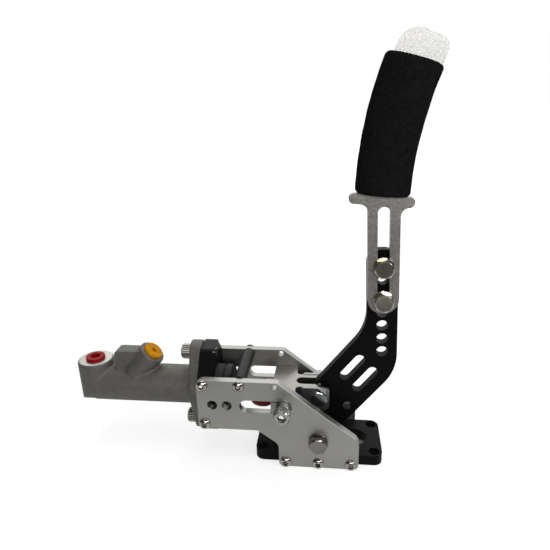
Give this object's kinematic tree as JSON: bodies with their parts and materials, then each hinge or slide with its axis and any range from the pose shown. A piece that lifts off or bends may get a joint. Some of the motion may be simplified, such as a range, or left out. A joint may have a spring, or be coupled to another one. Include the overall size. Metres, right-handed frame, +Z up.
{
  "type": "parking brake lever",
  "caption": "Upright hydraulic parking brake lever: a cranked hand lever between two side plates drives a crosshead into a level master cylinder, on a bolt-down base.",
  "frame": {"origin": "centre of the four base bolts on the underside of the base plate", "axes": "+Z up along the base bolts, -X towards the closed end of the master cylinder, -Y towards the side plate on which the handle plate lies"},
  "size_m": [0.2921, 0.089, 0.3285],
  "materials": {
    "black_steel": "satin black powder coat on steel plate",
    "satin_aluminium": "satin silver anodised plate with bright edges",
    "black_anodised": "black anodised",
    "cast_aluminium": "grey sand cast skin",
    "machined_aluminium": "machined, satin",
    "blasted_aluminium": "bead blasted",
    "stainless": "bright stainless",
    "zinc_steel": "zinc plated",
    "spring_steel": "oiled",
    "black_rubber": "matte",
    "red_rubber": "matte cast elastomer",
    "red_plastic": "soft moulded",
    "yellow_plastic": "soft moulded",
    "bronze": "sintered",
    "foam": "closed cell foam sleeve"
  },
  "bodies": {
    "frame": {"base_plate": "black_steel", "right_side_plate": "satin_aluminium", "left_side_plate": "satin_aluminium", "base_screws": "stainless", "cylinder_mount_plate": "black_anodised", "mount_plate_screws": "stainless", "spacer_bar": "black_anodised", "spacer_screws": "stainless", "master_cylinder_body": "cast_aluminium", "outlet_plug": "red_plastic", "inlet_plug": "yellow_plastic", "cylinder_bolts": "stainless", "return_spring": "spring_steel", "cylinder_circlip": "spring_steel", "dust_boot": "black_rubber", "pivot_bolt": "zinc_steel", "pivot_nut": "zinc_steel", "pivot_washers": "zinc_steel", "pivot_spacers": "zinc_steel"},
    "lever": {"pivot_bushing": "bronze", "lever_plate": "black_steel", "handle_bolts": "zinc_steel", "handle_nuts": "zinc_steel", "handle_washers": "zinc_steel"},
    "slider": {"piston": "machined_aluminium", "piston_seals": "black_rubber", "pushrod": "zinc_steel", "pushrod_locknut": "zinc_steel", "crosshead": "machined_aluminium", "guide_screws": "stainless", "bump_stop": "red_rubber", "clevis_cheeks": "zinc_steel", "clevis_bolt": "zinc_steel", "clevis_nut": "zinc_steel"},
    "handle": {"handle_plate": "blasted_aluminium", "grip": "foam"}
  },
  "joints": [
    {"name": "lever_pull", "type": "hinge", "parent": "frame", "child": "lever", "pos_m": [0, 0, 0.0255], "axis": [0, -1, 0], "range_deg": [0, 22], "stiffness_Nm_per_rad": 4},
    {"name": "crosshead_slide", "type": "slide", "parent": "frame", "child": "slider", "axis": [-1, 0, 0], "range_m": [0, 0.0122], "deforming": ["return_spring", "dust_boot"]},
    {"name": "handle_slide", "type": "slide", "parent": "lever", "child": "handle", "axis": [-0.0401, 0, 0.9992], "range_m": [-0.04, 0]}
  ],
  "couplings": [
    {"joint": "crosshead_slide", "follows": "lever_pull", "m_per_rad": 0.0315}
  ]
}
